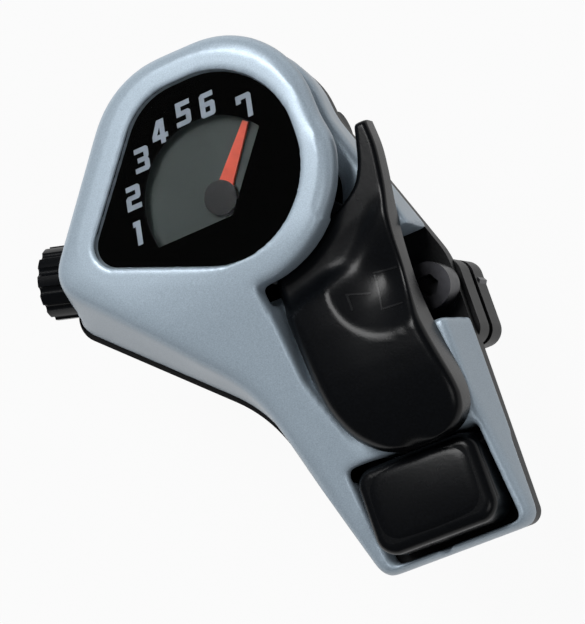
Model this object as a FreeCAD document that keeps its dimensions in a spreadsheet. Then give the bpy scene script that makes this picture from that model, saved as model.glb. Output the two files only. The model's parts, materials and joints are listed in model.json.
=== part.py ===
"""Thumb-operated trigger shifter with a gear indicator, for a 22.2 mm handlebar.

Row frame: the origin is the handlebar's centre at the middle of the clamp, +X along the bar
towards the grip, +Y ahead of the rider, +Z up along the main axle. Sizes are millimetres.
"""
import FreeCAD
import Part
import math
import os

from FreeCAD import Placement, Rotation, Vector

DRIVING = {
    # Handlebar clamp
    "bar_radius": 11.1, "clamp_width": 10.0, "clamp_wall": 2.8, "split_gap": 1.6, "lug_drop": 4.2,
    "lug_split": 8.0, "lug_edge": 9.5, "lug_end": 3.7, "lug_round": 2.6, "bolt_side": 15.2,
    "bolt_back": 15.5, "bolt_radius": 2.0, "bolt_head_radius": 3.5, "bolt_head_height": 4.2,
    "hex_socket": 1.75, "nut_radius": 4.0, "nut_height": 3.2, "hinge_pin_radius": 1.25,
    "hinge_ahead": 1.6, "ear_length": 2.9, "ear_wall": 1.7, "ear_gap": 0.15,
    # Main axle, measured from the bar
    "hub_side": 6.0, "hub_ahead": 6.0,
    # Stack of levels from the base upwards
    "base_low": 12.3, "base_plate": 2.2, "washer_thick": 0.5, "spool_flange": 2.3, "groove_width": 2.4,
    "ratchet_thick": 3.0, "spring_room": 2.5, "plate_thick": 2.0, "deck_gap": 1.2, "roof_gap": 1.2,
    "roof_thick": 1.0, "dial_plate_thick": 0.8, "sleeve_proud": 0.1, "needle_thick": 0.5,
    "hub_cap_thick": 0.3, "mask_gap": 0.3, "mask_thick": 0.4, "lens_thick": 1.0, "bezel_proud": 0.5,
    # Running parts round the main axle
    "axle_radius": 2.5, "axle_head_radius": 4.2, "axle_head_thick": 1.0, "sleeve_radius": 4.0,
    "groove_radius": 7.6, "flange_radius": 9.4, "ratchet_radius": 11.0, "tooth_depth": 1.7,
    "shift_step": 21.4, "plate_ring_radius": 8.2, "pawl_reach": 2.5, "pawl_width": 2.5,
    "pawl_room": 0.8, "stem_radius": 2.2, "stem_shoulder": 0.4, "pawl_pin_radius": 0.9,
    "spring_wire": 0.7, "lever_spring_radius": 6.2, "running_gap": 0.05, "free_gap": 0.4,
    # Top cover
    "throat_gap": 2.4, "arm_slot_depth": 4.0, "rim_radius": 17.9, "rim_round": 1.6, "rim_x": 1.5,
    "rim_y": 3.5, "edge_round": 2.2, "crease_round": 30.0, "slope_start": 12.5, "slope_angle": 17.5,
    "dial_ledge_width": 1.1,
    # Thumb lever
    "lever_height": 6.8, "lever_step": 3.6, "lever_round": 1.8,
    "nose_slope": 0.3, "nose_round": 16.0, "dish_radius": 14.0, "dish_depth": 3.2, "dish_lip": 4.0,
    # Release button
    "button_pivot_back": 45.4, "button_pivot_rise": 3.6, "button_pin_radius": 1.25,
    "button_height": 6.6, "button_draft": 3.0, "button_foot_rise": 3.0, "button_spring_radius": 2.3,
    "button_spring_length": 5.9, "button_spring_wire": 0.6, "button_round": 1.6, "notch_width": 1.4,
    "notch_rise": 3.0, "button_gap": 0.5, "button_lip_gap": 0.7, "arm_thick": 1.9, "arm_length": 24.0,
    "arm_foot_length": 4.4, "arm_foot_lead": 2.4, "arm_room": 0.6, "arm_reach_room": 6.0,
    # Barrel adjuster
    "barrel_angle": 15.0, "barrel_radius": 5.7, "barrel_length": 7.2, "barrel_seat": 27.2,
    "thread_radius": 3.0, "thread_length": 11.0, "casing_radius": 2.6, "casing_depth": 5.0,
    "wire_radius": 0.9, "boss_radius": 6.1, "port_radius": 2.4, "port_plug_length": 4.0,
    # Fasteners
    "screw_radius": 1.25, "screw_head_radius": 2.3, "screw_head_thick": 1.2, "screw_length": 8.0,
    "slot_length": 3.2, "slot_width": 0.6, "lever_screw_length": 3.4,
    # Dial
    "needle_length": 11.7, "needle_root": 1.3, "needle_tip": 0.45, "window_radius": 12.0,
    "window_apex": 1.2,
}

DERIVED = {
    "hub_x": "-dims.hub_side", "hub_y": "dims.hub_ahead",
    "base_top": "dims.base_low + dims.base_plate",
    "spool_low": "levels.base_top + dims.washer_thick",
    "groove_low": "levels.spool_low + dims.spool_flange",
    "groove_top": "levels.groove_low + dims.groove_width",
    "cable_level": "(levels.groove_low + levels.groove_top) / 2",
    "ratchet_top": "levels.groove_top + dims.ratchet_thick",
    "plate_low": "levels.ratchet_top + dims.spring_room",
    "plate_top": "levels.plate_low + dims.plate_thick",
    "deck": "levels.plate_low - dims.deck_gap",
    "slot_roof": "levels.plate_top + dims.roof_gap",
    "dial_ledge": "levels.slot_roof + dims.roof_thick",
    "dial_plate_top": "levels.dial_ledge + dims.dial_plate_thick",
    "sleeve_top": "levels.dial_plate_top + dims.sleeve_proud",
    "needle_top": "levels.sleeve_top + dims.needle_thick",
    "hub_cap_top": "levels.needle_top + dims.hub_cap_thick",
    "mask_low": "levels.hub_cap_top + dims.mask_gap",
    "mask_top": "levels.mask_low + dims.mask_thick",
    "lens_top": "levels.mask_top + dims.lens_thick",
    "bezel_top": "levels.lens_top + dims.bezel_proud",
    "lever_low": "levels.deck + dims.free_gap",
    "bolt_x": "dims.bolt_side", "bolt_y": "-dims.bolt_back",
    "pawl_orbit": "dims.ratchet_radius + dims.pawl_reach",
    "chamber_radius": "levels.pawl_orbit + dims.pawl_width / 2 + dims.pawl_room",
    "throat_radius": "dims.ratchet_radius + dims.throat_gap",
}

doc = FreeCAD.newDocument("trigger_shifter")


def make_sheet(name, cells):
    """A spreadsheet with one named cell a row."""
    made = doc.addObject("Spreadsheet::Sheet", name)
    for row, (alias, content) in enumerate(cells.items(), 1):
        made.set(f"A{row}", alias)
        made.setAlias(f"B{row}", alias)
    for row, content in enumerate(cells.values(), 1):
        made.set(f"B{row}", content if isinstance(content, str) else str(content))
    doc.recompute()
    return made


dims = make_sheet("dims", DRIVING)
levels = make_sheet("levels", {alias: "=" + formula for alias, formula in DERIVED.items()})
VALUES = {alias: float(dims.get(alias)) for alias in DRIVING}
VALUES.update({alias: float(levels.get(alias)) for alias in DERIVED})


def size(alias):
    """The number behind a named cell."""
    return VALUES[alias]


def cell(text):
    """An expression in which bare alias names are replaced by their sheet cells."""
    words = sorted(VALUES, key=len, reverse=True)
    out = ""
    i = 0
    while i < len(text):
        inside_word = i > 0 and (text[i - 1].isalnum() or text[i - 1] in "._")
        match = None if inside_word else next((w for w in words if text.startswith(w, i)), None)
        if match and not text[i + len(match):i + len(match) + 1].replace("_", "a").isalnum():
            out += ("dims." if match in DRIVING else "levels.") + match
            i += len(match)
        else:
            out += text[i]
            i += 1
    return out


def bind(obj, **sizes):
    """Ties properties of an object to expressions over the sheets."""
    for prop, text in sizes.items():
        obj.setExpression(prop.replace("__", "."), cell(text))
    return obj


def place(obj, x="0", y="0", z="0"):
    """Ties an object's place to expressions over the sheets."""
    return bind(obj, Placement__Base__x=x, Placement__Base__y=y, Placement__Base__z=z)


ALONG_X = Rotation(Vector(0, 1, 0), 90)
ALONG_Y = Rotation(Vector(1, 0, 0), -90)


def cylinder(name, radius, height, x="0", y="0", z="0", turn=None):
    """A bound cylinder that stands on its place along Z, or along X when turned."""
    made = doc.addObject("Part::Cylinder", name)
    if turn:
        made.Placement = Placement(Vector(), turn)
    bind(made, Radius=radius, Height=height)
    return place(made, x, y, z)


def box(name, length, width, height, x, y, z):
    """A bound box with its lowest corner at its place."""
    made = doc.addObject("Part::Box", name)
    bind(made, Length=length, Width=width, Height=height)
    return place(made, x, y, z)


def prism(name, radius, height, x, y, z):
    """A bound hexagonal prism."""
    made = doc.addObject("Part::Prism", name)
    made.Polygon = 6
    bind(made, Circumradius=radius, Height=height)
    return place(made, x, y, z)


def fuse(name, *shapes):
    """The union of several objects."""
    made = doc.addObject("Part::MultiFuse", name)
    made.Shapes = list(shapes)
    made.Refine = True
    return made


def cut(name, base, *tools):
    """One object less one or more tools."""
    made = doc.addObject("Part::Cut", name)
    made.Base = base
    made.Tool = tools[0] if len(tools) == 1 else fuse(name + "_tools", *tools)
    return made


nodes = []


def node(obj, label):
    """Registers a finished sub-part under the name of its file."""
    obj.Label = label
    nodes.append((label, obj))
    return obj


def rounded(corners):
    """Lines and arcs of a closed outline given as (x, y, corner radius), counter-clockwise."""
    count = len(corners)
    stretches = []
    for i in range(count):
        before, here, after = (Vector(*corners[(i + k) % count][:2], 0) for k in (-1, 0, 1))
        radius = corners[i][2]
        to_before = (before - here).normalize()
        to_after = (after - here).normalize()
        half = to_before.getAngle(to_after) / 2
        reach = radius / math.tan(half)
        middle = (to_before + to_after).normalize()
        centre = here + middle * (radius / math.sin(half))
        ends = (here + to_before * reach, here + to_after * reach)
        stretches.append((*ends, centre, radius, to_before, to_after))
    made = []
    for i, (start, end, centre, radius, to_before, to_after) in enumerate(stretches):
        left_turn = (-to_before).cross(to_after).z > 0
        first, last = (start, end) if left_turn else (end, start)
        angles = [math.atan2(p.y - centre.y, p.x - centre.x) for p in (first, last)]
        if radius > 0:
            made.append(Part.ArcOfCircle(Part.Circle(centre, Vector(0, 0, 1), radius), *angles))
        made.append(Part.LineSegment(end, stretches[(i + 1) % count][0]))
    return made


def polygon(points):
    """Straight lines of a closed outline."""
    corners = [Vector(x, y, 0) for x, y in points]
    return [Part.LineSegment(a, b) for a, b in zip(corners, corners[1:] + corners[:1])]


def new_body(name, x="0", y="0", z="0"):
    """An empty body at a bound place."""
    return place(doc.addObject("PartDesign::Body", name), x, y, z)


def sketch_on(body, name, geometry, plane="XY_Plane", level="0"):
    """A sketch of the given geometry on one of the body's own planes, raised by a bound amount."""
    made = body.newObject("Sketcher::SketchObject", name)
    support = next(f for f in body.Origin.OriginFeatures if f.Role == plane)
    made.AttachmentSupport = [(support, "")]
    made.MapMode = "FlatFace"
    bind(made, AttachmentOffset__Base__z=level)
    made.addGeometry(geometry)
    return made


def pad(body, name, sketch, length, **flags):
    """Material raised from a sketch."""
    made = body.newObject("PartDesign::Pad", name)
    made.Profile = sketch
    bind(made, Length=length)
    for flag, value in flags.items():
        setattr(made, flag, value)
    return made


def pocket(body, name, sketch, length, upwards=True):
    """Material taken away above a sketch, or below it."""
    made = body.newObject("PartDesign::Pocket", name)
    made.Profile = sketch
    bind(made, Length=length)
    made.Reversed = upwards
    return made


def loft(body, name, low, high):
    """Straight walls between two outlines with the same number of stretches."""
    made = body.newObject("PartDesign::AdditiveLoft", name)
    made.Profile = low
    made.Sections = [high]
    made.Ruled = True
    return made


def round_edges(body, name, base, radius, wanted):
    """A fillet on the edges of the base that a test picks."""
    doc.recompute()
    names = [f"Edge{i}" for i, e in enumerate(base.Shape.Edges, 1) if wanted(e)]
    made = body.newObject("PartDesign::Fillet", name)
    made.Base = (base, names)
    bind(made, Radius=radius)
    body.Tip = made
    return made


def lies_at(level, reach=1e-3):
    """A test for edges that lie flat at a level."""
    return lambda e: abs(e.BoundBox.ZMin - level) < reach and abs(e.BoundBox.ZMax - level) < reach


FAR = "60"
FAR_MM = 60.0

# Plan outlines are measured from the main axle.
TAIL_RIGHT = 24.4
TAIL_LEFT = -1.2
TAIL_END = -59.2
FOOT_OUTLINE = [
    (TAIL_RIGHT, TAIL_END, 2.5), (TAIL_RIGHT + 0.3, -17.5, 12.0), (15.5, 8.0, 12.0), (14.0, 21.0, 13.0),
    (-12.5, 24.3, 17.0), (-37.2, -5.3, 4.5), (-10.2, -29.6, 22.0), (TAIL_LEFT, TAIL_END, 2.5),
]
CROWN_OUTLINE = [
    (23.2, -57.0, 2.0), (22.0, -8.0, 5.0), (19.1, 4.5, 8.0), (19.0, 23.2, 15.0),
    (-10.0, 23.4, 16.5), (-29.5, -1.9, 4.4), (-4.6, -27.0, 20.0), (3.4, -57.0, 2.0),
]
DIAL_OUTLINE = [(14.8, -16.6, 14.3), (14.8, 18.2, 13.3), (-6.8, 18.3, 11.0), (-23.2, -2.0, 3.4)]


def grown(outline, by):
    """A rounded outline moved outwards by a distance, or inwards if it is negative."""
    count = len(outline)
    moved = []
    for i in range(count):
        before, here, after = (Vector(*outline[(i + k) % count][:2], 0) for k in (-1, 0, 1))
        along_in = (here - before).normalize()
        along_out = (after - here).normalize()
        normal_in = Vector(along_in.y, -along_in.x, 0)
        normal_out = Vector(along_out.y, -along_out.x, 0)
        middle = (normal_in + normal_out).normalize()
        corner = here + middle * (by / middle.dot(normal_in))
        convex = along_in.cross(along_out).z > 0
        moved.append((corner.x, corner.y, max(0.3, outline[i][2] + (by if convex else -by))))
    return moved


def arc(centre_x, centre_y, radius, start, end):
    """A counter-clockwise arc between two angles in degrees."""
    circle = Part.Circle(Vector(centre_x, centre_y, 0), Vector(0, 0, 1), radius)
    return Part.ArcOfCircle(circle, math.radians(start), math.radians(end))


def ring_sector(inner, outer, start, end):
    """A closed band about the main axle between two radii and two angles."""
    ends = [math.radians(a) for a in (start, end)]
    low = [Vector(r * math.cos(ends[0]), r * math.sin(ends[0]), 0) for r in (inner, outer)]
    high = [Vector(r * math.cos(ends[1]), r * math.sin(ends[1]), 0) for r in (inner, outer)]
    return [
        Part.LineSegment(low[0], low[1]), arc(0, 0, outer, start, end),
        Part.LineSegment(high[1], high[0]), arc(0, 0, inner, start, end),
    ]


# Plan of the thumb lever at rest: the paddle's left edge, nose, right edge and the bend round the bezel.
NECK_OUTLINE = [
    (19.5, -31.0, 3.0), (22.4, -12.0, 10.0), (24.0, 3.0, 1.1), (21.5, 3.0, 0.8), (19.4, -4.2, 5.0),
    (11.0, -7.6, 6.0), (1.9, -12.2, 1.5), (2.0, -21.0, 3.0), (4.6, -27.0, 3.0), (8.5, -31.0, 3.0),
]
BUTTON_LEFT = 2.0
BUTTON_RIGHT = 21.9
BUTTON_FRONT = -43.4
BUTTON_REAR = -57.2
NOTCH_PLACE = 9.4
BOLT_WINDOW = (16.6, -27.2, 25.9, -12.8)
PORT_SEAT = 15.0
COVER_SCREWS = [(-24.5, -9.0), (-3.2, 19.8), (-3.3, -40.0)]
CHAMBER_START = -168.0
CHAMBER_SPAN = 164.0
SLOT_START = -100.0
SLOT_MIDDLE = -62.0
SLOT_END = 62.0

# Top cover: a drafted shell with a sloping neck, cut for the dial, the lever, the button and the drive.
cover = new_body("cover_body", "hub_x", "hub_y")
foot = sketch_on(cover, "cover_foot", rounded(FOOT_OUTLINE), level="base_top")
crown = sketch_on(cover, "cover_crown", rounded(CROWN_OUTLINE), level="bezel_top + 0.5")
loft(cover, "cover_walls", foot, crown)
slope_drop = math.tan(math.radians(size("slope_angle"))) * (FAR_MM + 10 - size("slope_start"))
neck_profile = [
    (-size("slope_start"), size("bezel_top"), size("crease_round")), (FAR_MM, size("bezel_top"), 0),
    (FAR_MM, size("bezel_top") + 20, 0), (-FAR_MM - 10, size("bezel_top") + 20, 0),
    (-FAR_MM - 10, size("bezel_top") - slope_drop, 0),
]
slope_sketch = sketch_on(cover, "neck_profile", rounded(neck_profile), plane="YZ_Plane")
slope = pocket(cover, "neck_slope", slope_sketch, "120")
slope.Midplane = True


def faces_up(face):
    """A face that lies along X and looks up."""
    first_u, last_u, first_v, last_v = face.ParameterRange
    outward = face.normalAt((first_u + last_u) / 2, (first_v + last_v) / 2)
    return abs(outward.x) < 1e-6 and outward.z > 0.9


def crown_edge(edge):
    """An outer edge of the bezel's top or of the sloping neck."""
    middle = edge.valueAt((edge.FirstParameter + edge.LastParameter) / 2)
    if middle.y < TAIL_END + 2 or edge.BoundBox.YLength < 1e-3:
        return False
    return any(faces_up(face) for face in slope.Shape.ancestorsOfType(edge, Part.Face))


round_edges(cover, "crown_round", slope, "edge_round", crown_edge)
doc.recompute()

dial_well = sketch_on(cover, "dial_well_outline", rounded(DIAL_OUTLINE), level="mask_low")
pocket(cover, "dial_well", dial_well, FAR)
LEDGE_OUTLINE = grown(DIAL_OUTLINE, -size("dial_ledge_width"))
plate_well = sketch_on(cover, "plate_well_outline", rounded(LEDGE_OUTLINE), level="dial_ledge")
pocket(cover, "plate_well", plate_well, FAR)

RIM_START = -92.0
RIM_END = 10.0
rim = [Vector(size("rim_x") + size("rim_radius") * math.cos(math.radians(a)),
              size("rim_y") + size("rim_radius") * math.sin(math.radians(a)), 0)
       for a in (RIM_START, RIM_END)]
BAY_WALL = [(1.5, -20.0), (1.5, -29.0), (6.0, -46.0), (FAR_MM, -46.0), (FAR_MM, rim[1].y)]
bay_corners = [rim[0], *(Vector(x, y, 0) for x, y in BAY_WALL), rim[1]]
bay_lines = [Part.LineSegment(a, b) for a, b in zip(bay_corners, bay_corners[1:])]
bay_lines.append(arc(size("rim_x"), size("rim_y"), size("rim_radius"), RIM_START, RIM_END))
bay = sketch_on(cover, "lever_bay_outline", bay_lines, level="deck")
bay_cut = pocket(cover, "lever_bay", bay, FAR)
doc.recompute()


def rim_edge(edge):
    """An upper edge of the bezel's side that the lever passes."""
    faces = bay_cut.Shape.ancestorsOfType(edge, Part.Face)
    round_walls = [face for face in faces if isinstance(face.Surface, Part.Cylinder)]
    on_rim = any(abs(face.Surface.Radius - size("rim_radius")) < 1e-6 for face in round_walls)
    return on_rim and edge.BoundBox.ZMin > size("slot_roof")


round_edges(cover, "bezel_side_round", bay_cut, "rim_round", rim_edge)
slot_root = size("throat_radius") - 0.5
for name, reach, start, end in (("arm_slot", slot_root + size("arm_slot_depth"), SLOT_START, SLOT_MIDDLE),
                                ("lever_slot", FAR_MM, SLOT_MIDDLE, SLOT_END)):
    sector = ring_sector(slot_root, reach, start + 360, end + 360)
    pocket(cover, name, sketch_on(cover, name + "_outline", sector, level="deck"), "slot_roof - deck")

BARREL_LEAN = math.radians(size("barrel_angle"))
BARREL_WAY = Vector(-math.cos(BARREL_LEAN), math.sin(BARREL_LEAN), 0)
BARREL_TURN = Rotation(Vector(0, 0, 1), BARREL_WAY)
CABLE_ARM = size("groove_radius") + size("wire_radius") / 2
CABLE_START = Vector(size("hub_x") + CABLE_ARM * BARREL_WAY.x * math.tan(BARREL_LEAN),
                     size("hub_y") + CABLE_ARM * BARREL_WAY.x, size("cable_level"))


def along_barrel(name, radius, start, length):
    """A bound cylinder on the cable's line, a distance out from where the cable leaves the spool."""
    made = doc.addObject("Part::Cylinder", name)
    made.Placement = Placement(CABLE_START + BARREL_WAY * start, BARREL_TURN)
    return bind(made, Radius=radius, Height=length)


def hub_cylinder(name, radius, height, x, y, z):
    """A bound cylinder at a plan place measured from the main axle."""
    return cylinder(name, radius, height, f"hub_x + {x}", f"hub_y + {y}", z)


def hub_box(name, corner_low, corner_high, low, high):
    """A bound box between two plan corners measured from the main axle and two levels."""
    (x0, y0), (x1, y1) = corner_low, corner_high
    return box(name, str(x1 - x0), str(y1 - y0), f"({high}) - ({low})",
               f"hub_x + {x0}", f"hub_y + {y0}", low)


PIVOT_Y = "hub_y - button_pivot_back"
PIVOT_Z = "base_top + button_pivot_rise"
PIN_LENGTH = f"{BUTTON_RIGHT - BUTTON_LEFT} + 3"
PIN_LEFT = f"hub_x + {BUTTON_LEFT} - 1.5"
ARM_LEFT = -1.0
ARM_RIGHT = 5.0
ARM_BACK = -size("button_pivot_back") + size("arm_foot_lead")
ARM_HEEL = ARM_BACK - size("arm_foot_length")
ARM_FRONT = ARM_BACK + size("arm_length")
boss = along_barrel("barrel_boss", "boss_radius", 12.0, "barrel_seat - 12")
boss_trim = hub_box("boss_trim", (-60, -40), (0, 40), "0", "base_top")
cover_solid = fuse("cover_solid", cover, cut("trimmed_boss", boss, boss_trim))
pawl_chamber = cylinder("pawl_chamber", "chamber_radius", "deck - base_top", "hub_x", "hub_y", "base_top",
                        Rotation(Vector(0, 0, 1), CHAMBER_START))
pawl_chamber.Angle = CHAMBER_SPAN
cover_tools = [
    pawl_chamber,
    hub_cylinder("throat", "throat_radius", "dial_ledge - base_top", 0, 0, "base_top"),
    along_barrel("barrel_bore", "thread_radius", 0.0, FAR),
    along_barrel("knob_room", "barrel_radius + free_gap", size("barrel_seat"), FAR),
    hub_box("button_well", (BUTTON_LEFT - size("button_gap"), BUTTON_REAR - size("button_lip_gap")),
            (BUTTON_RIGHT + size("button_gap"), BUTTON_FRONT + size("button_gap")),
            "base_top", "bezel_top"),
    hub_box("bolt_window", BOLT_WINDOW[:2], (BOLT_WINDOW[2], BOLT_WINDOW[3]), "base_top", "bezel_top"),
    hub_box("arm_channel", (ARM_LEFT - size("arm_room"), BUTTON_FRONT - 1.0),
            (ARM_RIGHT + size("arm_room"), ARM_FRONT + size("arm_reach_room")),
            "base_top", "ratchet_top - 1"),
    hub_box("lip_notch", (NOTCH_PLACE, TAIL_END), (NOTCH_PLACE + size("notch_width"), BUTTON_REAR),
            "base_top + notch_rise", "bezel_top"),
    cylinder("button_pin_hole", "button_pin_radius", PIN_LENGTH, PIN_LEFT, PIVOT_Y, PIVOT_Z, ALONG_X),
    cylinder("port_hole", "port_radius", FAR, "hub_x + groove_radius", "hub_y", "cable_level", ALONG_Y),
]
for number, (x, y) in enumerate(COVER_SCREWS):
    cover_tools.append(hub_cylinder(f"screw_bore_{number}", "screw_radius", "screw_length - base_plate",
                                    x, y, "base_top"))
top_cover = node(cut("top_cover", cover_solid, *cover_tools), "top_cover")

# The floor is a little inside the shell, apart from the edge under the neck's left side, which shows.
FLOOR_INSET = 0.4
FLOOR_PROUD = 0.7
FLOOR_OUTLINE = grown(FOOT_OUTLINE, -FLOOR_INSET)
for corner in (5, 6):
    x, y, radius = FLOOR_OUTLINE[corner]
    FLOOR_OUTLINE[corner] = (x - FLOOR_PROUD, y - FLOOR_PROUD, radius)

# Base housing: the floor plate with the upper half of the handlebar clamp below it.
HINGE_Y = "bar_radius + clamp_wall + hinge_ahead"
EAR_ROOM = "hinge_pin_radius + ear_wall + free_gap"
base = new_body("base_body", "hub_x", "hub_y")
floor_sketch = sketch_on(base, "floor_outline", rounded(FLOOR_OUTLINE), level="base_low")
pad(base, "floor_plate", floor_sketch, "base_plate")
LUG_BACK = "bolt_back + lug_edge"
saddle = box("saddle", "clamp_width", "bar_radius + clamp_wall", "base_low - split_gap / 2 + 0.5",
             "-clamp_width / 2", "0", "split_gap / 2")
saddle_rear = box("saddle_rear", "clamp_width", LUG_BACK, "base_low - lug_split - split_gap / 2 + 0.5",
                  "-clamp_width / 2", f"-({LUG_BACK})", "lug_split + split_gap / 2")
lug_tip = size("bolt_side") + size("lug_end")
lug_front = -size("bar_radius") - size("free_gap")
lug_rear = -size("bolt_back") - size("lug_edge")
LUG_OUTLINE = [(-size("clamp_width") / 2, lug_rear, 0), (lug_tip, lug_rear, size("lug_round")),
               (lug_tip, lug_front, size("lug_round")), (-size("clamp_width") / 2, lug_front, 0)]
bolt_lug = new_body("bolt_lug")
pad(bolt_lug, "bolt_lug_block", sketch_on(bolt_lug, "bolt_lug_outline", rounded(LUG_OUTLINE),
                                          level="lug_split + split_gap / 2"),
    "base_low - lug_split - split_gap / 2 + 0.5")
knuckle = cylinder("base_knuckle", "hinge_pin_radius + ear_wall", "clamp_width - 2 * ear_length",
                   "ear_length - clamp_width / 2", HINGE_Y, "0", ALONG_X)
base_solid = fuse("base_solid", base, saddle, saddle_rear, bolt_lug, knuckle)
BAR_END = "-clamp_width / 2 - 20"
base_tools = [
    cylinder("bar_upper", "bar_radius", "clamp_width + 40", BAR_END, "0", "0", ALONG_X),
    cylinder("bolt_way", "bolt_radius + running_gap", "base_top + 10", "bolt_x", "bolt_y", "-10"),
    hub_cylinder("axle_way", "axle_radius", "base_plate", 0, 0, "base_low"),
    hub_cylinder("axle_seat", "axle_head_radius", "axle_head_thick", 0, 0, "base_top - axle_head_thick"),
    cylinder("hinge_way", "hinge_pin_radius", "clamp_width", "-clamp_width / 2", HINGE_Y, "0", ALONG_X),
    cylinder("near_ear_room", EAR_ROOM, "ear_length + 0.1", "-clamp_width / 2 - 0.1", HINGE_Y, "0",
             ALONG_X),
    cylinder("far_ear_room", EAR_ROOM, "ear_length + 0.1", "clamp_width / 2 - ear_length", HINGE_Y, "0",
             ALONG_X),
    along_barrel("base_knob_room", "barrel_radius + free_gap", size("barrel_seat"), FAR),
]
for number, (x, y) in enumerate(COVER_SCREWS):
    base_tools.append(hub_cylinder(f"screw_way_{number}", "screw_radius", "base_plate", x, y, "base_low"))
    base_tools.append(hub_cylinder(f"screw_seat_{number}", "screw_head_radius", "screw_head_thick",
                                   x, y, "base_low"))
node(cut("base_housing", base_solid, *base_tools), "base_housing")

# Lower clamp half with its hinge pin, bolt and nut.
CLAMP_LEFT = "-clamp_width / 2"
ring_out = cylinder("strap_ring", "bar_radius + clamp_wall", "clamp_width", CLAMP_LEFT, "0", "0", ALONG_X)
LUG_LOW = "lug_split - split_gap / 2 - lug_drop"
lug = new_body("strap_lug")
strap_lug_sketch = sketch_on(lug, "strap_lug_outline", rounded(LUG_OUTLINE), level=LUG_LOW)
pad(lug, "strap_lug_block", strap_lug_sketch, "lug_drop")
ears = cylinder("strap_ears", "hinge_pin_radius + ear_wall", "clamp_width", CLAMP_LEFT, HINGE_Y, "0", ALONG_X)
upper_front = box("above_front_split", "clamp_width + 2", "bar_radius * 3", "bar_radius * 2",
                  CLAMP_LEFT + " - 1", "0", "-split_gap / 2")
upper_rear = box("above_rear_split", "clamp_width + 2", "bar_radius * 3", "bar_radius * 2",
                 CLAMP_LEFT + " - 1", "-bar_radius * 3", "lug_split - split_gap / 2")
half_ring = fuse("ring_and_lug", cut("half_ring", ring_out, upper_front, upper_rear), lug)
strap_tools = [
    cylinder("bar_lower", "bar_radius", "clamp_width + 4", "-clamp_width / 2 - 2", "0", "0", ALONG_X),
    cylinder("strap_bolt_way", "bolt_radius + running_gap", "base_top + 25", "bolt_x", "bolt_y", "-25"),
    prism("nut_seat", "nut_radius", "nut_height", "bolt_x", "bolt_y", LUG_LOW),
    cylinder("strap_hinge_way", "hinge_pin_radius", "clamp_width", CLAMP_LEFT, HINGE_Y, "0", ALONG_X),
    box("knuckle_room", "clamp_width - 2 * (ear_length - ear_gap)", f"2 * ({EAR_ROOM})",
        f"2 * ({EAR_ROOM})", "ear_length - ear_gap - clamp_width / 2", f"{HINGE_Y} - ({EAR_ROOM})",
        f"-({EAR_ROOM})"),
]
node(cut("clamp_strap", fuse("strap_solid", half_ring, ears), *strap_tools), "clamp_strap")
node(cylinder("clamp_hinge_pin", "hinge_pin_radius", "clamp_width", CLAMP_LEFT, HINGE_Y, "0", ALONG_X),
     "clamp_hinge_pin")
shank = cylinder("bolt_shank", "bolt_radius", f"base_top - ({LUG_LOW})", "bolt_x", "bolt_y", LUG_LOW)
bolt_head = cylinder("bolt_head", "bolt_head_radius", "bolt_head_height", "bolt_x", "bolt_y", "base_top")
key_socket = prism("key_socket", "hex_socket", "3", "bolt_x", "bolt_y", "base_top + bolt_head_height - 3")
node(cut("clamp_bolt", fuse("bolt_blank", shank, bolt_head), key_socket), "clamp_bolt")
nut_blank = prism("nut_blank", "nut_radius", "nut_height", "bolt_x", "bolt_y", LUG_LOW)
nut_bore = cylinder("nut_bore", "bolt_radius", "nut_height", "bolt_x", "bolt_y", LUG_LOW)
node(cut("clamp_nut", nut_blank, nut_bore), "clamp_nut")
screws = []
for number, (x, y) in enumerate(COVER_SCREWS):
    stem = hub_cylinder(f"screw_stem_{number}", "screw_radius", "screw_length", x, y, "base_low")
    head = hub_cylinder(f"screw_head_{number}", "screw_head_radius", "screw_head_thick", x, y, "base_low")
    half_length, half_width = size("slot_length") / 2, size("slot_width") / 2
    drive = hub_box(f"screw_slot_{number}", (x - half_length, y - half_width),
                    (x + half_length, y + half_width), "base_low", "base_low + slot_width")
    screws.append(cut(f"cover_screw_{number}", fuse(f"screw_blank_{number}", stem, head), drive))
screw_set = doc.addObject("Part::Compound", "cover_screws")
screw_set.Links = screws
node(screw_set, "cover_screws")

# Main axle with the running parts on it.
axle_shaft = hub_cylinder("axle_shaft", "axle_radius", "plate_top - base_low", 0, 0, "base_low")
axle_head = hub_cylinder("axle_head", "axle_head_radius", "axle_head_thick", 0, 0,
                         "base_top - axle_head_thick")
node(fuse("main_axle", axle_shaft, axle_head), "main_axle")


def washer(name, inner, outer, thick, level):
    """A bound flat ring about the main axle."""
    disc = hub_cylinder(name + "_disc", outer, thick, 0, 0, level)
    return node(cut(name, disc, hub_cylinder(name + "_bore", inner, thick, 0, 0, level)), name)


washer("spool_washer", "axle_radius + running_gap", "sleeve_radius + 2", "washer_thick", "base_top")
spool = new_body("spool_body", "hub_x", "hub_y")
bore = size("axle_radius") + size("running_gap")
low, groove_low, groove_top = size("spool_low"), size("groove_low"), size("groove_top")
shoulder = size("dial_ledge") - size("stem_shoulder")
bore_top = size("plate_top") + size("running_gap")
spool_profile = [
    (bore, low), (size("flange_radius"), low), (size("flange_radius"), groove_low - 0.8),
    (size("groove_radius"), groove_low), (size("groove_radius"), groove_top),
    (size("ratchet_radius"), groove_top), (size("ratchet_radius"), size("ratchet_top")),
    (size("sleeve_radius"), size("ratchet_top")), (size("sleeve_radius"), shoulder),
    (size("stem_radius"), shoulder), (size("stem_radius"), size("sleeve_top")), (0, size("sleeve_top")),
    (0, bore_top), (bore, bore_top),
]
spool_sketch = sketch_on(spool, "spool_profile", polygon(spool_profile), plane="XZ_Plane")
turned = spool.newObject("PartDesign::Revolution", "spool_turned")
turned.Profile = spool_sketch
turned.ReferenceAxis = (spool_sketch, ["V_Axis"])
turned.Angle = 360


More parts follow.
